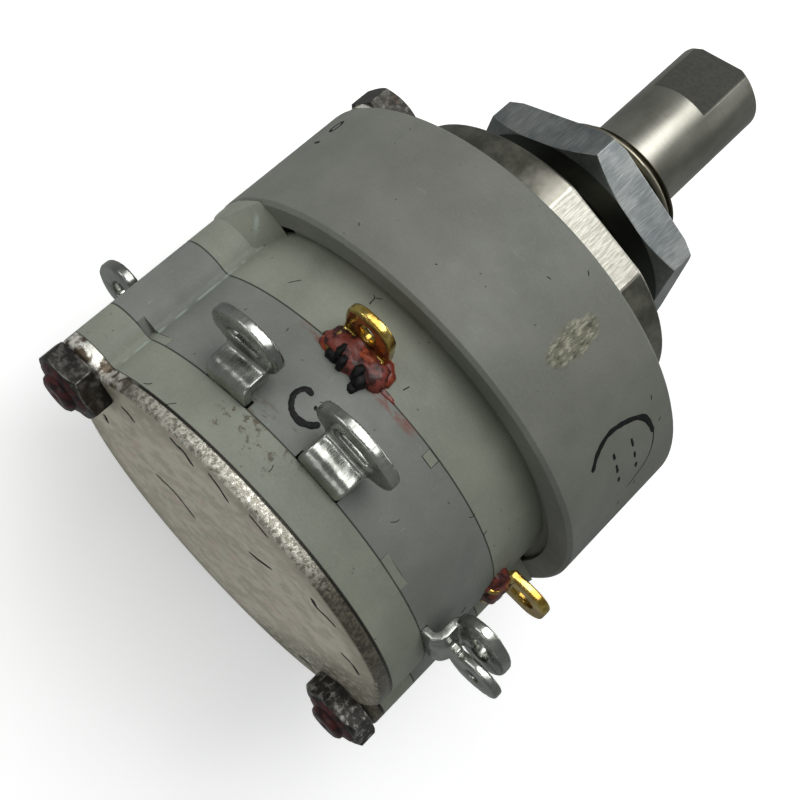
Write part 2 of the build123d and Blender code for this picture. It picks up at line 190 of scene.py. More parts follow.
# ---- shader building ----
class Shader:
    """A material made of nodes, with short calls for the nodes used here. Its coordinates are millimetres."""

    def __init__(self, name):
        self.material = bpy.data.materials.new(name)
        self.material.use_nodes = True
        self.tree = self.material.node_tree
        self.surface = self.tree.nodes["Principled BSDF"]
        coordinates = self.tree.nodes.new("ShaderNodeTexCoord").outputs["Object"]
        self.place = self.vector("SCALE", coordinates, scale=1 / MM)
        split = self.tree.nodes.new("ShaderNodeSeparateXYZ")
        self.tree.links.new(self.place, split.inputs[0])
        self.x, self.y, self.z = split.outputs
        self.angle = self.math("MULTIPLY", self.math("ARCTAN2", self.z, self.x), 180 / math.pi)
        squares = [self.math("POWER", value, 2) for value in (self.x, self.z)]
        self.radius = self.math("SQRT", self.math("ADD", *squares))

    def feed(self, socket, value):
        """Links a socket to an output, or sets its value."""
        if isinstance(value, bpy.types.NodeSocket):
            self.tree.links.new(value, socket)
        elif isinstance(value, (tuple, list)) and socket.type == "RGBA":
            socket.default_value = (*value, 1)[:4]
        else:
            socket.default_value = value

    def math(self, operation, a, b=0.0, clamp=False):
        """One math node."""
        made = self.tree.nodes.new("ShaderNodeMath")
        made.operation = operation
        made.use_clamp = clamp
        self.feed(made.inputs[0], a)
        self.feed(made.inputs[1], b)
        return made.outputs[0]

    def vector(self, operation, a, b=(0, 0, 0), scale=1.0):
        """One vector math node."""
        made = self.tree.nodes.new("ShaderNodeVectorMath")
        made.operation = operation
        self.feed(made.inputs[0], a)
        self.feed(made.inputs[1], b)
        if operation == "SCALE":
            self.feed(made.inputs[3], scale)
        return made.outputs["Value"] if operation in ("LENGTH", "DOT_PRODUCT") else made.outputs[0]

    def along(self, x=1.0, y=1.0, z=1.0):
        """The place with each axis stretched, to draw a texture out into lines."""
        return self.vector("MULTIPLY", self.place, (x, y, z))

    def around(self, axial=1.0, tangential=1.0):
        """Coordinates unrolled from the shaft: along it, round it (in mm at the deck's edge) and outwards.

        The first two are stretched by the factors given.
        """
        made = self.tree.nodes.new("ShaderNodeCombineXYZ")
        self.feed(made.inputs[0], self.y)
        self.feed(made.inputs[1], self.math("MULTIPLY", self.angle, math.radians(DECK_R)))
        self.feed(made.inputs[2], self.radius)
        return self.vector("MULTIPLY", made.outputs[0], (axial, tangential, 1.0))

    def noise(self, scale, detail=3.0, rough=0.5, place=None):
        """Noise from 0 to 1, with scale in features for each millimetre."""
        made = self.tree.nodes.new("ShaderNodeTexNoise")
        self.feed(made.inputs["Vector"], place or self.place)
        for name, value in (("Scale", scale), ("Detail", detail), ("Roughness", rough)):
            made.inputs[name].default_value = value
        return made.outputs["Fac"]

    def cells(self, scale, place=None):
        """Distance to the nearest cell point."""
        made = self.tree.nodes.new("ShaderNodeTexVoronoi")
        self.feed(made.inputs["Vector"], place or self.place)
        made.inputs["Scale"].default_value = scale
        return made.outputs["Distance"]

    def step(self, value, low, high, to_low=0.0, to_high=1.0):
        """A smooth step of value between low and high."""
        made = self.tree.nodes.new("ShaderNodeMapRange")
        made.interpolation_type = "SMOOTHSTEP"
        for index, given in enumerate((value, low, high, to_low, to_high)):
            self.feed(made.inputs[index], given)
        return made.outputs[0]

    def mix(self, share, a, b):
        """A colour between a and b."""
        made = self.tree.nodes.new("ShaderNodeMix")
        made.data_type = "RGBA"
        self.feed(made.inputs[0], share)
        self.feed(made.inputs[6], a)
        self.feed(made.inputs[7], b)
        return made.outputs[2]

    def both(self, a, b):
        """Where both masks hold."""
        return self.math("MULTIPLY", a, b)

    def either(self, a, b):
        """Where either mask holds."""
        return self.math("MAXIMUM", a, b)

    def band(self, value, middle, half, soft):
        """A mask that holds within half of middle, and fades out over soft."""
        off = self.math("ABSOLUTE", self.math("SUBTRACT", value, middle))
        return self.step(off, half, half + soft, 1.0, 0.0)

    def spot(self, station, angle, along, around, soft):
        """A mask in an ellipse on the housing wall: half-lengths along and round it in millimetres."""
        arc = self.math("MULTIPLY", self.math("SUBTRACT", self.angle, angle), math.radians(HOUSING_R))
        u = self.math("DIVIDE", self.math("SUBTRACT", self.y, station), along)
        v = self.math("DIVIDE", arc, around)
        reach = self.math("ADD", self.math("POWER", u, 2), self.math("POWER", v, 2))
        wobble = self.math("MULTIPLY", self.math("SUBTRACT", self.noise(1.3), 0.5), 1.2)
        return self.step(self.math("ADD", reach, wobble), 1 - soft, 1 + soft, 1.0, 0.0)

    def worn_edge(self, reach, low=0.02, high=0.2):
        """A mask on sharp edges, as wide as reach, broken up by noise."""
        made = self.tree.nodes.new("ShaderNodeBevel")
        made.samples = 4
        made.inputs["Radius"].default_value = reach * MM
        true = self.tree.nodes.new("ShaderNodeNewGeometry").outputs["Normal"]
        bend = self.math("SUBTRACT", 1.0, self.vector("DOT_PRODUCT", made.outputs[0], true))
        return self.both(self.step(bend, low, high), self.step(self.noise(2.2, 4), 0.35, 0.6))

    def normal_y(self):
        """How far a face points along the shaft, from 0 to 1."""
        split = self.tree.nodes.new("ShaderNodeSeparateXYZ")
        true = self.tree.nodes.new("ShaderNodeNewGeometry").outputs["True Normal"]
        self.tree.links.new(true, split.inputs[0])
        return self.math("ABSOLUTE", split.outputs[1])

    def rounded(self, reach):
        """A normal with sharp edges rounded off."""
        made = self.tree.nodes.new("ShaderNodeBevel")
        made.samples = 4
        made.inputs["Radius"].default_value = reach * MM
        return made.outputs[0]

    def bump(self, height, depth, normal=None):
        """A normal from a height of 0 to 1, depth millimetres deep."""
        made = self.tree.nodes.new("ShaderNodeBump")
        made.inputs["Strength"].default_value = 1.0
        made.inputs["Distance"].default_value = depth * MM
        self.feed(made.inputs["Height"], height)
        if normal is not None:
            self.feed(made.inputs["Normal"], normal)
        return made.outputs[0]

    def finish(self, color, rough, metal=0.0, normal=None, **sockets):
        """Feeds the surface and returns the material."""
        self.feed(self.surface.inputs["Base Color"], color)
        self.feed(self.surface.inputs["Roughness"], rough)
        self.surface.inputs["Metallic"].default_value = metal
        if normal is not None:
            self.feed(self.surface.inputs["Normal"], normal)
        for name, value in sockets.items():
            self.feed(self.surface.inputs[name.replace("_", " ")], value)
        return self.material


# ---- materials ----
def specks(s):
    """A mask of short dark hairs and specks, as in dusty moulded plastic."""
    hair_a = s.step(s.cells(0.6, s.around(1.0, 6.0)), 0.02, 0.05, 1.0, 0.0)
    hair_b = s.step(s.cells(0.55, s.around(5.0, 1.2)), 0.02, 0.05, 1.0, 0.0)
    dots = s.step(s.cells(1.6), 0.05, 0.12, 1.0, 0.0)
    few = s.step(s.noise(0.45, 2), 0.56, 0.60)
    return s.both(s.either(s.either(hair_a, hair_b), dots), few)


def plastic(name, light, dark, seams=(), marks=None):
    """Matte moulded plastic: mottling, grain, specks, faint scuffs, pale worn edges and dark seams."""
    s = Shader(name)
    cloudy = s.noise(0.22, 3, 0.55)
    color = s.mix(s.step(cloudy, 0.3, 0.7), dark, light)
    grain = s.noise(7.0, 4, 0.65)
    color = s.mix(s.math("MULTIPLY", s.step(grain, 0.45, 0.8), 0.16), color, tuple(c * 1.5 for c in light))
    color = s.mix(s.math("MULTIPLY", s.step(grain, 0.5, 0.25), 0.12), color, tuple(c * 0.5 for c in dark))
    scuffs = s.step(s.noise(1.2, 5, 0.6, s.around(5.0, 0.7)), 0.62, 0.72)
    color = s.mix(s.math("MULTIPLY", scuffs, 0.22), color, tuple(c * 1.45 for c in light))
    color = s.mix(s.math("MULTIPLY", specks(s), 0.7), color, tuple(c * 0.22 for c in dark))
    worn = s.math("MULTIPLY", s.worn_edge(0.12, 0.05, 0.3), 0.55)
    color = s.mix(worn, color, tuple(c * 1.6 for c in light))
    height = s.math("ADD", s.math("MULTIPLY", grain, 0.5), s.math("MULTIPLY", cloudy, 0.3))
    for seam in seams:
        line = s.band(s.y, seam, 0.02, 0.05)
        color = s.mix(s.math("MULTIPLY", line, 0.85), color, (0.012, 0.012, 0.01))
    rough = s.step(s.noise(0.9, 4), 0.2, 0.8, 0.5, 0.66)
    if marks:
        color = marks(s, color)
    return s.finish(color, rough, normal=s.bump(height, 0.012, s.rounded(0.07)), Specular_IOR_Level=0.42)


def worn_patch(s, color):
    """The worn patch on the housing: pale and olive smears."""
    patch = s.spot(8.0, 87.5, 1.75, 0.85, 0.35)
    streaks = s.noise(1.6, 5, 0.65, s.around(1.0, 3.0))
    stain = s.math("MULTIPLY", patch, 0.55)
    color = s.mix(stain, color, (0.13, 0.125, 0.075))
    color = s.mix(s.both(patch, s.step(streaks, 0.52, 0.62, 0.0, 0.75)), color, (0.34, 0.33, 0.25))
    color = s.mix(s.both(patch, s.step(streaks, 0.46, 0.38, 0.0, 0.8)), color, (0.045, 0.042, 0.026))
    return color


def painted_crease_highlights(s, color):
    """Painted highlights: pale lines along the creases where the bolt ears meet the deck."""
    for middle in (0, 180, -180):
        for side in (1, -1):
            line = s.band(s.angle, middle + side * 10.6, 0.12, 0.5)
            broken = s.step(s.noise(1.1, 3), 0.42, 0.6)
            color = s.mix(s.math("MULTIPLY", s.both(line, broken), 0.55), color, (0.32, 0.38, 0.34))
    return color


def cream_stains_and_highlights(s, color):
    """Cream decks: painted highlights along the ear creases and brown dirt beside the rear seam."""
    color = painted_crease_highlights(s, color)
    dirt = s.noise(2.0, 5, 0.65, s.around())
    near = s.both(s.band(s.y, REAR_SEAM + 0.7, 0.7, 0.5), s.band(s.angle, 57, 9, 6))
    color = s.mix(s.both(near, s.step(dirt, 0.53, 0.62, 0.0, 0.8)), color, (0.06, 0.042, 0.022))
    return color


def deck_stains_and_highlights(s, color):
    """Grey deck: painted highlights along the ear creases, brown smears at the rear seam, red along the front
    seam, pale scratches.
    """
    color = painted_crease_highlights(s, color)
    smear = s.noise(1.4, 5, 0.65, s.around(2.2, 0.8))
    rear = s.both(s.band(s.y, REAR_SEAM - 0.45, 0.25, 0.5), s.band(s.angle, 58, 12, 6))
    color = s.mix(s.both(rear, s.step(smear, 0.5, 0.64, 0.0, 0.75)), color, (0.085, 0.055, 0.03))
    front = s.both(s.band(s.y, FRONT_SEAM + 0.2, 0.12, 0.3), s.band(s.angle, 62, 16, 5))
    color = s.mix(s.both(front, s.step(smear, 0.42, 0.58, 0.0, 0.7)), color, (0.16, 0.04, 0.025))
    scratch = s.noise(1.1, 4, 0.6, s.around(0.9, 6.0))
    color = s.mix(s.step(scratch, 0.66, 0.72, 0.0, 0.4), color, (0.30, 0.33, 0.29))
    return color


def bushing_metal():
    """Bushing: dull grey flange, brushed wrench flats painted bright as a painted highlight, and a brownish
    thread with painted shade in its grooves and painted highlights on its crests.
    """
    s = Shader("bushing_metal")
    lines = s.noise(3.0, 4, 0.7, s.around(9.0, 0.12))
    cloudy = s.noise(0.6, 4, 0.6)
    dirt = s.noise(1.6, 5, 0.65)
    color = s.mix(s.step(cloudy, 0.35, 0.65), (0.15, 0.145, 0.12), (0.27, 0.26, 0.22))
    color = s.mix(s.step(dirt, 0.66, 0.72, 0.0, 0.8), color, (0.60, 0.57, 0.54))
    flange = s.step(s.y, -0.05, 0.0)
    turn = s.math("ABSOLUTE", s.math("SUBTRACT", s.math("ABSOLUTE", s.angle), FLANGE_FLAT_DEGREES))
    # The brushed wrench flat is painted bright: its brushing is the metal's own, its lighter colour a painted
    # highlight.
    flat = s.both(flange, s.step(turn, FLAT_HALF_DEGREES, FLAT_HALF_DEGREES + 0.4, 1.0, 0.0))
    brushed = s.noise(1.8, 5, 0.7, s.along(6.0, 0.6, 2.0))
    flat_highlight_color = s.mix(s.step(brushed, 0.35, 0.65), (0.33, 0.32, 0.27), (0.60, 0.585, 0.52))
    color = s.mix(flat, color, flat_highlight_color)
    thread = s.both(s.step(s.y, -0.6, -0.7), s.step(s.radius, THREAD_R - 0.9, THREAD_R - 0.8))
    # The thread is painted dark in its grooves and lighter on its crests: painted shade and painted
    # highlight.
    crest_highlight_groove_shade = s.step(s.radius, THREAD_R - 0.32, THREAD_R - 0.06)
    thread_shade_and_highlight = s.mix(crest_highlight_groove_shade, (0.05, 0.045, 0.03), (0.36, 0.33, 0.25))
    color = s.mix(thread, color, thread_shade_and_highlight)
    rough = s.math("ADD", s.step(cloudy, 0.2, 0.8, 0.26, 0.4), s.math("MULTIPLY", flat, 0.08))
    height = s.math("ADD", lines, s.math("MULTIPLY", brushed, flat))
    return s.finish(color, rough, 1.0, s.bump(height, 0.008, s.rounded(0.04)))


def shaft_metal():
    """Shaft: satin turned metal; its milled flat is painted dark, a painted dark reflection."""
    s = Shader("shaft_metal")
    lines = s.noise(3.0, 4, 0.7, s.around(9.0, 0.12))
    cloudy = s.noise(0.35, 3, 0.5, s.along(1.0, 0.4, 1.0))
    color = s.mix(s.step(cloudy, 0.32, 0.7), (0.24, 0.235, 0.20), (0.42, 0.41, 0.36))
    color = s.mix(s.step(lines, 0.42, 0.62, 0.0, 0.2), color, (0.15, 0.145, 0.12))
    # The milled flat is painted dark: painted shade for the dark reflection it shows; it is also made
    # rougher.
    inside = s.step(s.radius, SHAFT_R - 0.12, SHAFT_R - 0.03, 1.0, 0.0)
    milled = s.both(inside, s.step(s.normal_y(), 0.5, 0.6, 1.0, 0.0))
    mill_grain = s.step(s.noise(4.0, 4), 0.35, 0.65)
    color = s.mix(milled, color, s.mix(mill_grain, (0.13, 0.13, 0.115), (0.155, 0.155, 0.135)))
    rough = s.math("ADD", s.step(cloudy, 0.2, 0.8, 0.26, 0.36), s.math("MULTIPLY", milled, 0.12))
    return s.finish(color, rough, 1.0, s.bump(lines, 0.003, s.rounded(0.06)))


def brushed_nut():
    """Bluish plated nut with brushed faces, scratches, bright edges and end faces painted dark as painted
    shade.
    """
    s = Shader("nut_metal")
    lines = s.noise(2.0, 4, 0.7, s.along(1.2, 10.0, 1.2))
    cross = s.noise(1.3, 4, 0.65, s.along(10.0, 0.7, 10.0))
    cloudy = s.noise(0.4, 3)
    color = s.mix(s.step(cloudy, 0.35, 0.65), (0.29, 0.315, 0.32), (0.46, 0.48, 0.475))
    color = s.mix(s.math("MULTIPLY", s.step(cross, 0.4, 0.7), 0.5), color, (0.16, 0.175, 0.18))
    color = s.mix(s.math("MULTIPLY", s.step(cross, 0.5, 0.25), 0.5), color, (0.66, 0.67, 0.65))
    color = s.mix(s.math("MULTIPLY", s.worn_edge(0.15), 0.6), color, (0.74, 0.75, 0.73))
    # Both end faces are painted dark: painted shade for the shadow on the rear face in the gap by the flange.
    end_face_painted_shade = s.step(s.normal_y(), 0.8, 0.95)
    color = s.mix(s.math("MULTIPLY", end_face_painted_shade, 0.85), color, (0.075, 0.09, 0.088))
    height = s.math("ADD", lines, s.math("MULTIPLY", cross, 0.8))
    rough = s.step(lines, 0.3, 0.7, 0.3, 0.44)
    return s.finish(color, rough, 1.0, s.bump(height, 0.01, s.rounded(0.1)))


def blackened():
    """Blackened steel, worn bright on its edges and a little rusty."""
    s = Shader("blackened_steel")
    cloudy = s.noise(1.1, 4, 0.6)
    color = s.mix(s.step(cloudy, 0.35, 0.7), (0.022, 0.021, 0.019), (0.075, 0.07, 0.06))
    color = s.mix(s.math("MULTIPLY", s.step(s.noise(0.9, 4), 0.6, 0.72), 0.3), color, (0.075, 0.045, 0.028))
    worn = s.both(s.worn_edge(0.14, 0.03, 0.2), s.step(s.noise(0.8, 3), 0.46, 0.6))
    # Light patches from noise, stronger towards -X (0.6) than towards +X (0.12).
    bright_patches = s.step(s.noise(2.2, 5, 0.7), 0.5, 0.66)
    bright_patches = s.both(bright_patches, s.step(s.x, 2, -2, 0.12, 0.6))
    color = s.mix(s.either(worn, bright_patches), color, (0.55, 0.54, 0.50))
    rough = s.step(cloudy, 0.3, 0.7, 0.34, 0.5)
    return s.finish(color, rough, 0.85, s.bump(s.noise(3.5, 4), 0.03, s.rounded(0.1)))


def plate_metal():
    """Tarnished rear plate: mottled pinkish-beige face, dark rim with bright scratches, painted lighter on
    its upper side as a painted highlight, rusty ear.
    """
    s = Shader("plate_metal")
    face = s.step(s.normal_y(), 0.75, 0.95)
    blotch = s.noise(1.1, 5, 0.65, s.along(1.0, 1.0, 0.6))
    fine = s.noise(3.0, 5, 0.7, s.along(1.2, 1.0, 0.6))
    color = s.mix(s.step(blotch, 0.40, 0.60), (0.52, 0.485, 0.375), (0.68, 0.64, 0.52))
    pink = s.step(s.noise(0.9, 4, 0.6, s.along(1.0, 1.0, 0.4)), 0.5, 0.64)
    color = s.mix(s.math("MULTIPLY", pink, 0.4), color, (0.72, 0.56, 0.50))
    color = s.mix(s.math("MULTIPLY", s.step(fine, 0.5, 0.66), 0.4), color, (0.74, 0.70, 0.60))
    color = s.mix(s.math("MULTIPLY", s.step(fine, 0.42, 0.28), 0.35), color, (0.16, 0.15, 0.10))
    sooty = s.both(s.step(s.x, -6.0, -9.5), s.step(fine, 0.38, 0.55))
    color = s.mix(s.math("MULTIPLY", sooty, 0.7), color, (0.07, 0.065, 0.045))
    outer = s.both(face, s.step(s.radius, DECK_R - 2.2, DECK_R - 0.6))
    color = s.mix(s.math("MULTIPLY", outer, 0.4), color, (0.24, 0.22, 0.16))
    hammered = s.noise(2.6, 5, 0.7, s.around(1.6, 1.6))
    scratches = s.step(hammered, 0.40, 0.62)
    # The rim is painted lighter in a band of angles round 57 degrees: a painted highlight on the side towards
    # the key light.
    bright = s.band(s.angle, 57, 24, 16)
    dull_rim = s.mix(scratches, (0.075, 0.065, 0.05), (0.17, 0.15, 0.115))
    rim_highlight_color = s.mix(scratches, (0.22, 0.205, 0.165), (0.62, 0.60, 0.52))
    rim = s.mix(bright, dull_rim, rim_highlight_color)
    rim = s.mix(s.step(s.y, PLATE_FRONT + 0.16, PLATE_FRONT + 0.1), rim, (0.02, 0.018, 0.013))
    color = s.mix(face, rim, color)
    ear = s.both(s.step(s.x, DECK_R - 1.2, DECK_R), s.step(face, 0.0, 1.0, 1.0, 0.0))
    rust = s.step(s.noise(1.4, 4), 0.42, 0.56)
    color = s.mix(ear, color, s.mix(rust, (0.10, 0.075, 0.05), (0.80, 0.78, 0.71)))
    rough = s.math("ADD", s.math("MULTIPLY", face, 0.16), s.step(fine, 0.3, 0.7, 0.24, 0.38))
    height = s.math("ADD", fine, s.math("MULTIPLY", scratches, 0.5))
    return s.finish(color, rough, 0.6, s.bump(height, 0.02, s.rounded(0.08)))


def tin():
    """Uneven bright tin."""
    s = Shader("tinned_brass")
    lumps = s.noise(0.7, 2, 0.4)
    fine = s.noise(6.0, 4, 0.6)
    satin = s.noise(2.0, 4, 0.6, s.around(0.8, 5.0))
    color = s.mix(s.step(lumps, 0.3, 0.7), (0.27, 0.28, 0.255), (0.47, 0.48, 0.44))
    color = s.mix(s.math("MULTIPLY", s.step(s.noise(1.3, 4), 0.58, 0.72), 0.35), color, (0.22, 0.21, 0.17))
    color = s.mix(s.math("MULTIPLY", s.worn_edge(0.12, 0.03, 0.25), 0.6), color, (0.86, 0.87, 0.84))
    height = s.math("ADD", lumps, s.math("MULTIPLY", s.math("ADD", fine, satin), 0.03))
    return s.finish(color, s.step(satin, 0.3, 0.7, 0.17, 0.33), 1.0, s.bump(height, 0.06))


def gold():
    """Bright gold plate with a slightly uneven surface."""
    s = Shader("gold_plate")
    lumps = s.noise(1.0, 3, 0.5)
    color = s.mix(s.step(lumps, 0.4, 0.6), (0.40, 0.25, 0.055), (0.66, 0.50, 0.15))
    color = s.mix(s.math("MULTIPLY", s.step(s.noise(1.8, 4), 0.56, 0.7), 0.5), color, (0.20, 0.12, 0.035))
    rough = s.step(s.noise(5.0, 3), 0.3, 0.7, 0.15, 0.27)
    return s.finish(color, rough, 1.0, s.bump(lumps, 0.04))


def varnish(name, light, dark):
    """Glossy sealing varnish, thick and uneven."""
    s = Shader(name)
    lumps = s.noise(1.7, 4, 0.6)
    color = s.mix(s.step(lumps, 0.40, 0.58), dark, light)
    rough = s.step(s.noise(3.0, 3), 0.3, 0.7, 0.3, 0.5)
    return s.finish(color, rough, 0.0, s.bump(lumps, 0.04), Coat_Weight=0.1, Specular_IOR_Level=0.3)


def ink(name):
    """Black marker ink or a dark hair, nearly matte, with a fine uneven shade."""
    s = Shader(name)
    fine = s.noise(5.0, 4, 0.6)
    color = s.mix(s.step(fine, 0.55, 0.8), (0.004, 0.004, 0.004), (0.028, 0.029, 0.028))
    return s.finish(color, s.step(fine, 0.3, 0.7, 0.5, 0.7), 0.0, s.bump(fine, 0.01), Specular_IOR_Level=0.2)


def plain_metal(name, color, rough):
    """Inner metal pieces: fine grain on one colour."""
    s = Shader(name)
    grain = s.noise(4.0, 3)
    shade = s.mix(s.step(grain, 0.3, 0.7), tuple(c * 0.75 for c in color), color)
    return s.finish(shade, rough, 1.0, s.bump(grain, 0.006))


MATERIALS = {
    "housing_plastic": plastic("housing_plastic", (0.150, 0.155, 0.133), (0.122, 0.127, 0.108),
                               marks=worn_patch),
    "cream_plastic": plastic("cream_plastic", (0.215, 0.225, 0.180), (0.165, 0.175, 0.140),
                             seams=(FRONT_SEAM, REAR_SEAM, PLATE_FRONT), marks=cream_stains_and_highlights),
    "grey_plastic": plastic("grey_plastic", (0.165, 0.175, 0.156), (0.130, 0.140, 0.124),
                            seams=(FRONT_SEAM, REAR_SEAM), marks=deck_stains_and_highlights),
    "plate_metal": plate_metal(),
    "bushing_metal": bushing_metal(),
    "shaft_metal": shaft_metal(),
    "nut_metal": brushed_nut(),
    "blackened_steel": blackened(),
    "tinned_brass": tin(),
    "gold_plate": gold(),
    "contact_copper": plain_metal("contact_copper", (0.7, 0.58, 0.38), 0.3),
    "spring_steel": plain_metal("spring_steel", (0.6, 0.6, 0.6), 0.28),
    "inner_plastic": plastic("inner_plastic", (0.05, 0.048, 0.042), (0.035, 0.034, 0.03)),
}


def dress_cad():
    """Gives every CAD node the detailed material of its slot."""
    for part in frame["record"]["subparts"]:
        mesh = node[part["node"]].data
        mesh.materials.clear()
        mesh.materials.append(MATERIALS[part["material_slot"]])


EDGE_WIDTHS = {"tie_nuts": 0.07, "tie_bolts": 0.06, "tie_washers": 0.04, "detent_housing": 0.05}


def soften_edges(name, width):
    """Rounds a CAD node's sharp edges: its flat faces are merged, then its edges are bevelled."""
    merge = node[name].modifiers.new("merge", "DECIMATE")
    merge.decimate_type = "DISSOLVE"
    merge.angle_limit = math.radians(0.5)
    bevel = node[name].modifiers.new("bevel", "BEVEL")
    bevel.width = width * MM
    bevel.segments = 2
    bevel.limit_method = "ANGLE"
    bevel.angle_limit = math.radians(25)
    bevel.harden_normals = True


# ---- meshes ----
def add_piece(name, points, faces, material):
    """A mesh object from points in millimetres, smooth but for its sharp edges, riding on the frame."""
    mesh = bpy.data.meshes.new(name)
    mesh.from_pydata([Vector(point) * MM for point in points], [], faces)
    work = bmesh.new()
    work.from_mesh(mesh)
    bmesh.ops.recalc_face_normals(work, faces=work.faces)
    work.to_mesh(mesh)
    work.free()
    mesh.materials.append(material)
    for face in mesh.polygons:
        face.use_smooth = True
    mesh.set_sharp_from_angle(angle=math.radians(40))
    piece = bpy.data.objects.new(name, mesh)
    bpy.context.scene.collection.objects.link(piece)
    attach(piece, "frame")
    return piece


def lathe(name, profile, around, material, center_x=0.0):
    """A closed ring about the shaft, or about a bolt. Each profile point is (station, radius of an angle)."""
    points = []
    for station, radius in profile:
        for step in range(around):
            angle = 2 * math.pi * step / around
            reach = radius(angle)
            points.append((center_x + reach * math.cos(angle), station, reach * math.sin(angle)))
    faces = []
    rows = len(profile)
    for row in range(rows):
        below = (row + 1) % rows
        for step in range(around):
            beside = (step + 1) % around
            faces.append((row * around + step, row * around + beside,
                          below * around + beside, below * around + step))
    return add_piece(name, points, faces, material)


def smooth_line(points, steps):
    """A smooth line through the points."""
    ends = [points[0], *points, points[-1]]
    line = []
    for before, start, end, after in zip(ends, ends[1:], ends[2:], ends[3:]):
        for step in range(steps):
            t = step / steps
            line.append([0.5 * (2 * q + (r - p) * t + (2 * p - 5 * q + 4 * r - s) * t * t
                                + (3 * q - p - 3 * r + s) * t ** 3)
                         for p, q, r, s in zip(before, start, end, after)])
    return line + [list(points[-1])]


def on_cylinder(radius):
    """Turns (station, angle) into a place on a cylinder about the shaft and the way out from it."""
    def place(station, angle):
        out = Vector((math.cos(math.radians(angle)), 0, math.sin(math.radians(angle))))
        return out * radius + Vector((0, station, 0)), out
    return place


def on_plate(x, z):
    """A place on the rear plate's outer face and the way out from it."""
    return Vector((x, PLATE_REAR, z)), Vector((0, 1, 0))


def stroke(name, points, width, thick, material, place, sides=8, steps=6):
    """A flat stroke of ink, or a hair, lying on a surface, with rounded ends and an uneven edge."""
    line = [place(*point) for point in smooth_line(points, steps)]
    lengths = [0.0]
    for (start, _), (end, _) in zip(line, line[1:]):
        lengths.append(lengths[-1] + (end - start).length)
    rows = []
    for index, (center, out) in enumerate(line):
        ahead = line[min(index + 1, len(line) - 1)][0] - line[max(index - 1, 0)][0]
        side = out.cross(ahead).normalized()
        from_end = min(lengths[index], lengths[-1] - lengths[index])
        round_off = math.sqrt(max(0.04, 1 - max(0.0, 1 - 2 * from_end / width) ** 2))
        uneven = 1 + 0.35 * noise.noise(center * 2.3) + 0.2 * noise.noise(center * 7)
        half = width / 2 * round_off * uneven
        rows.append([center + side * half * math.cos(turn) + out * thick * math.sin(turn) * round_off
                     for turn in (2 * math.pi * step / sides for step in range(sides))])
    points = [point for row in rows for point in row]
    faces = []
    for row in range(len(rows) - 1):
        for step in range(sides):
            beside = (step + 1) % sides
            low = row * sides
            faces.append((low + step, low + beside, low + sides + beside, low + sides + step))
    faces.append(tuple(range(sides)))
    faces.append(tuple(range(len(points) - sides, len(points))))
    return add_piece(name, points, faces, material)


def heap(name, station, angle, along, around, height, material, radius, seed):
    """An uneven drop of varnish lying on a deck, as a closed mesh."""
    rings, spokes = 9, 40
    place = on_cylinder(radius)
    turn_scale = math.degrees(1 / radius)
    points = []
    for under in (1, -1):
        for ring in range(1, rings + 1):
            share = ring / rings
            for spoke in range(spokes):
                turn = 2 * math.pi * spoke / spokes
                edge_noise = noise.noise(Vector((math.cos(turn) * 1.6, math.sin(turn) * 1.6, seed)))
                ragged = noise.noise(Vector((math.cos(turn) * 4.5, math.sin(turn) * 4.5, seed + 5)))
                reach = share * (1 + 0.22 * edge_noise + 0.18 * ragged)
                center, out = place(station + along * reach * math.cos(turn),
                                    angle + around * reach * math.sin(turn) * turn_scale)
                lump = 1 + 0.2 * noise.noise(center * 1.9 + Vector((0, 0, seed)))
                rise = height * math.sqrt(max(0.0, 1 - share ** 4)) * lump
                points.append(center + out * (rise if under > 0 else -0.02))
        center, out = place(station, angle)
        points.append(center + out * (height if under > 0 else -0.02))
    side_points = rings * spokes + 1
    faces = []
    for base in (0, side_points):
        for spoke in range(spokes):
            beside = (spoke + 1) % spokes
            faces.append((base + spoke, base + beside, base + side_points - 1))
            for ring in range(rings - 1):
                low = base + ring * spokes
                faces.append((low + spoke, low + beside, low + spokes + beside, low + spokes + spoke))
    for spoke in range(spokes):
        beside = (spoke + 1) % spokes
        top = (rings - 1) * spokes
        faces.append((top + spoke, top + beside, side_points + top + beside, side_points + top + spoke))
    return add_piece(name, points, faces, material)


def soft_skin(name, voxel, rounds, lumps):
    """A plated terminal: its solid with rounded edges, filled corners and a slightly uneven skin."""
    skin = bpy.data.objects.new(name + "_plated", node[name].data.copy())
    bpy.context.scene.collection.objects.link(skin)
    remesh = skin.modifiers.new("remesh", "REMESH")
    remesh.mode = "VOXEL"
    remesh.voxel_size = voxel * MM
    smooth = skin.modifiers.new("smooth", "SMOOTH")
    smooth.factor = 0.5
    smooth.iterations = rounds
    bpy.context.view_layer.update()
    evaluated = skin.evaluated_get(bpy.context.evaluated_depsgraph_get())
    mesh = bpy.data.meshes.new_from_object(evaluated)
    skin.modifiers.clear()
    skin.data = mesh
    normals = [vertex.normal.copy() for vertex in mesh.vertices]
    for vertex, normal in zip(mesh.vertices, normals):
        place = vertex.co / MM
        swell = noise.noise(place * 0.9) + 0.4 * noise.noise(place * 2.6)
        vertex.co += normal * (0.02 + lumps * swell) * MM
    for face in mesh.polygons:
        face.use_smooth = True
    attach(skin, "frame")
    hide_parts(name)
    return skin


# ---- bushing with its real thread ----
THREAD_PITCH = 25.4 / 32
THREAD_DEPTH = 0.42
THREAD_FRONT_BEVEL = 0.2
THREAD_ROWS = 110
BUSHING_STEPS = 180
BORE_BEVEL = 0.15
FLANGE_FLAT_ANGLE = math.radians(FLANGE_FLAT_DEGREES)
SHARP_ON_FLANGE = math.radians(10)
FLANGE_BEVEL = 0.2
SPIGOT_R = 5.4
SPIGOT_REAR = edge("bushing", 1, 1)
BORE_R = 3.22
ROOT_RELIEF = 0.6


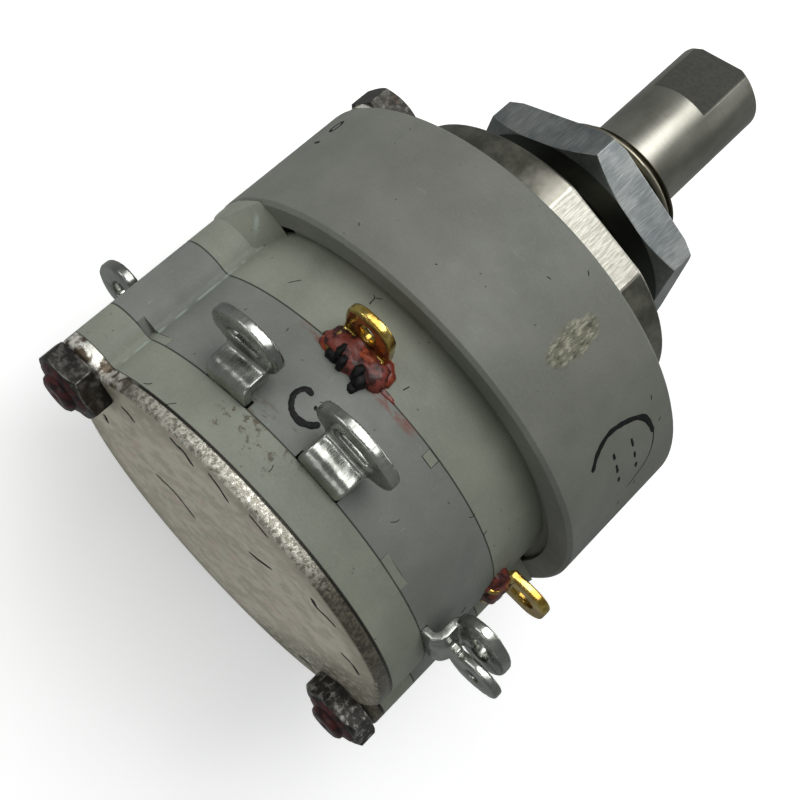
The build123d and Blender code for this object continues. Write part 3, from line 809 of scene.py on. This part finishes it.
def thread_radius(station):
    """The barrel's radius at a station, for each angle: a rounded ridge that winds round it."""
    def radius(angle):
        phase = (station / THREAD_PITCH - angle / (2 * math.pi)) % 1.0
        ridge = 0.5 - 0.5 * math.cos(2 * math.pi * phase)
        depth = THREAD_DEPTH * (1 - ridge ** 0.8)
        from_front = station - BARREL_FRONT
        bevel = max(0.0, THREAD_FRONT_BEVEL - from_front) * 0.9
        to_flange = -station
        relief = THREAD_DEPTH if to_flange < ROOT_RELIEF else 0.0
        return THREAD_R - max(depth, bevel, relief)
    return radius


def flange_radius(inset):
    """The flange's radius for each angle, with its two wrench flats."""
    def radius(angle):
        facing = abs(math.cos(angle - FLANGE_FLAT_ANGLE))
        return min(FLANGE_R, FLANGE_FLATS / 2 / max(facing, 0.1)) - inset
    return radius


def even(radius):
    """The same radius at every angle."""
    return lambda angle: radius


def bushing():
    """Threaded barrel, flange and spigot, in one closed mesh with its bore."""
    profile = [(BARREL_FRONT, even(BORE_R + BORE_BEVEL)),
               (BARREL_FRONT, even(THREAD_R - THREAD_FRONT_BEVEL - 0.25))]
    for row in range(THREAD_ROWS + 1):
        station = BARREL_FRONT - BARREL_FRONT * row / THREAD_ROWS
        profile.append((station, thread_radius(station)))
    profile += [(0, flange_radius(FLANGE_BEVEL)),
                (FLANGE_BEVEL * 0.4, flange_radius(FLANGE_BEVEL * 0.25)),
                (FLANGE_BEVEL, flange_radius(0)), (FLANGE_REAR, flange_radius(0)),
                (FLANGE_REAR, even(SPIGOT_R)),
                (SPIGOT_REAR, even(SPIGOT_R)), (SPIGOT_REAR, even(BORE_R)),
                (BARREL_FRONT + BORE_BEVEL, even(BORE_R))]
    piece = lathe("bushing_threaded", profile, BUSHING_STEPS, MATERIALS["bushing_metal"])
    work = bmesh.new()
    work.from_mesh(piece.data)
    for line in work.edges:
        on_flange = all(vertex.co.y > -0.01 * MM for vertex in line.verts)
        if on_flange and line.calc_face_angle(0.0) > SHARP_ON_FLANGE:
            line.smooth = False
    work.to_mesh(piece.data)
    work.free()
    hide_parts("bushing")


def detent_springs():
    """The two springs, as copies of their CAD meshes riding on the frame."""
    for name, joint, side in (("detent_spring_upper", "ball_upper_slide", 1),
                              ("detent_spring_lower", "ball_lower_slide", -1)):
        piece = bpy.data.objects.new(name + "_coil", node[name].data.copy())
        bpy.context.scene.collection.objects.link(piece)
        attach(piece, "frame")
        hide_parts(name)
        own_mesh(piece)


# ---- terminals ----
def terminals():
    """The gold terminals and the tinned lugs, with rounded edges."""
    for name in GOLD_TERMINALS:
        soft_skin(name, 0.07, 5, 0.012)
    for name in SOLDER_LUGS:
        soft_skin(name, 0.075, 8, 0.03)


# ---- varnish and ink ----
VARNISH_STEPS = 48
INK_LIFT = 0.01
WALL_INK_LIFT = 0.005
INK_C_WIDTH = 0.34
FIBRES = 14
WALL_SPECKS = 8


def wavy(reach, amount, side):
    """A radius that wanders with the angle, differently on each bolt."""
    def radius(angle):
        place = Vector((math.cos(angle) * 1.3, math.sin(angle) * 1.3, reach + 3 * side))
        return reach + amount * noise.noise(place)
    return radius


def sealing_varnish():
    """Red and orange varnish at the roots of the gold terminals and dark red varnish on the bolt ends."""
    red = varnish("varnish_red", (0.175, 0.036, 0.026), (0.03, 0.007, 0.006))
    orange = varnish("varnish_orange", (0.34, 0.062, 0.02), (0.13, 0.019, 0.01))
    dark = varnish("varnish_dark", (0.055, 0.008, 0.008), (0.012, 0.003, 0.003))
    spots = (
        # name, station, angle, half-lengths along and around, height, material, seed
        ("varnish_root", 16.22, 58.4, 1.02, 2.1, 0.72, red, 1),
        ("varnish_right", 16.0, 65.0, 0.85, 0.75, 0.40, orange, 2),
        ("varnish_left", 16.6, 51.6, 0.50, 0.50, 0.30, orange, 3),
        ("varnish_tail", 16.45, 69.3, 0.14, 0.70, 0.06, red, 4),
        ("varnish_middle", 16.0, 60.0, 0.42, 1.0, 0.77, orange, 5),
        ("varnish_common", 16.2, 148.0, 1.06, 1.95, 0.70, red, 6),
        ("varnish_drip", 16.75, 142.0, 0.4, 0.35, 0.16, red, 7),
    )
    for name, station, angle, along, around, height, material, seed in spots:
        heap(name, station, angle, along, around, height, material, DECK_R, seed)
    on_nut = ((-0.02, 1.75, 0.25), (0.12, 1.6, 0.2), (0.22, 1.28, 0.1))
    on_tip = ((-0.3, 1.17, 0.08), (-0.08, 1.1, 0.06), (0.05, 0.9, 0.05), (0.06, 0.3, 0.02))
    for index, side in enumerate((1, -1)):
        profile = [(NUT_REAR - 0.02, even(0.9))]
        for base, rows in ((NUT_REAR, on_nut), (STUB_REAR, on_tip)):
            profile += [(base + rise, wavy(reach, amount, side)) for rise, reach, amount in rows]
        inner = STUB_REAR - 0.4
        profile += [(STUB_REAR - 0.1, even(0.05)), (inner, even(0.05)), (inner, even(0.9))]
        lathe(f"varnish_bolt_{index + 1}", profile, VARNISH_STEPS, dark, side * BOLT_X)


def marker_ink():
    """Black marker strokes by the gold terminal, a hand-drawn C, a ring with plain dashes and a number."""
    black = ink("marker_ink")
    deck = on_cylinder(DECK_R + INK_LIFT)
    wall = on_cylinder(HOUSING_R + WALL_INK_LIFT)
    letter = [(19.1, 58.3), (19.12, 55.9), (19.7, 55.0), (20.3, 57.2),
              (20.45, 60.4), (20.22, 63.0), (19.83, 64.4)]
    stroke("ink_c", letter, INK_C_WIDTH, 0.02, black, deck)
    stroke("ink_dot", [(19.52, 60.6), (19.38, 61.2)], 0.30, 0.02, black, deck)
    blots = ((16.60, 55.5, 0.55, 0.30, 0.80, 11), (16.95, 57.5, 0.42, 0.30, 0.78, 12),
             (17.02, 54.4, 0.28, 0.42, 0.48, 13), (16.75, 61.6, 0.52, 0.34, 0.80, 14),
             (17.05, 63.3, 0.42, 0.34, 0.62, 15), (17.36, 63.2, 0.40, 0.32, 0.22, 16))
    for index, (station, angle, along, around, height, seed) in enumerate(blots):
        heap(f"ink_blot_{index + 1}", station, angle, along, around, height, black, DECK_R, seed)
    arc = [(10.5, 115.4), (9.8, 112.1), (8.65, 110.3), (7.15, 112.2),
           (6.25, 115.4), (5.9, 121.5), (6.6, 128.6), (8.3, 131.8)]
    stroke("stamp_arc_heavy", arc[:6], 0.34, 0.01, black, wall)
    stroke("stamp_arc_light", arc[4:], 0.09, 0.008, black, wall)
    dashes = ((7.5, 116.8, 2.8), (7.5, 121.4, 2.2), (7.5, 125.4, 1.8),
              (8.9, 116.0, 2.0), (8.9, 119.8, 2.8), (8.9, 124.4, 1.6))
    for index, (station, start, reach) in enumerate(dashes):
        dash = [(station, start), (station, start + reach)]
        stroke(f"stamp_mark_{index + 1}", dash, 0.2, 0.008, black, wall)
    stroke("number_one", [(7.6, 3.1), (7.6, 5.6)], 0.22, 0.01, black, wall)
    turns = [2 * math.pi * step / 10 for step in range(11)]
    zero = [(6.1 + 0.45 * math.cos(turn), 4.3 + 1.25 * math.sin(turn)) for turn in turns]
    stroke("number_zero", zero, 0.2, 0.01, black, wall)
    cracks = (
        ((8.49, 7.15), (7.95, 7.25), (7.6, 7.6), (6.63, 7.18)),
        ((6.5, 9.08), (5.6, 8.95), (4.55, 8.49)),
        ((4.2, 10.55), (2.71, 10.69)),
        ((-1.36, 9.95), (-2.0, 9.5), (-2.6, 9.9), (-3.19, 10.2)),
        ((-5.83, 7.15), (-6.6, 7.6), (-7.42, 7.22)),
        ((0.52, 4.67), (0.1, 5.4), (-0.25, 6.61)),
        ((8.86, -3.44), (8.18, -4.28)),
        ((9.97, 2.14), (9.4, 2.4), (8.88, 2.23)),
        ((-9.49, -3.4), (-10.03, -2.26)),
        ((4.7, -2.6), (3.4, -1.5), (1.5, -1.7)),
    )
    for index, points in enumerate(cracks):
        stroke(f"plate_crack_{index + 1}", points, 0.34, 0.008, black, on_plate)


def fibres():
    """A few dark hairs lying on the decks, and short specks on the housing wall."""
    black = ink("fibre")
    deck = on_cylinder(DECK_R + INK_LIFT)
    wall = on_cylinder(HOUSING_R + INK_LIFT)
    hairs = (
        ((13.74, 50.7), (13.3, 50.4), (13.21, 49.6)),
        ((13.27, 50.5), (13.08, 52.0)),
        ((15.68, 71.5), (15.29, 72.0)),
    )
    for index, points in enumerate(hairs):
        stroke(f"hair_{index + 1}", points, 0.05, 0.012, black, deck)
    draw = random.Random(7)
    for index in range(FIBRES):
        station = draw.uniform(14.2, 24.0)
        angle = draw.uniform(20, 160)
        bend = draw.uniform(-2, 2)
        length = draw.uniform(0.15, 0.6)
        lean = draw.uniform(-3, 3)
        points = [(station, angle), (station + length / 2, angle + lean / 2 + bend * 0.3),
                  (station + length, angle + lean)]
        stroke(f"fibre_{index + 1}", points, 0.035, 0.01, black, deck, sides=5, steps=4)
    for index in range(WALL_SPECKS):
        station = draw.uniform(5, 12)
        angle = draw.uniform(20, 150)
        points = [(station, angle), (station + draw.uniform(-0.3, 0.3), angle + draw.uniform(-1.5, 1.5))]
        stroke(f"speck_{index + 1}", points, 0.05, 0.01, black, wall, sides=5, steps=3)


make_camera()
make_light()
dress_cad()
for name, width in EDGE_WIDTHS.items():
    soften_edges(name, width)
bushing()
detent_springs()
terminals()
sealing_varnish()
marker_ink()
fibres()
make_floor(cad_box[0].z - FLOOR_GAP_M)
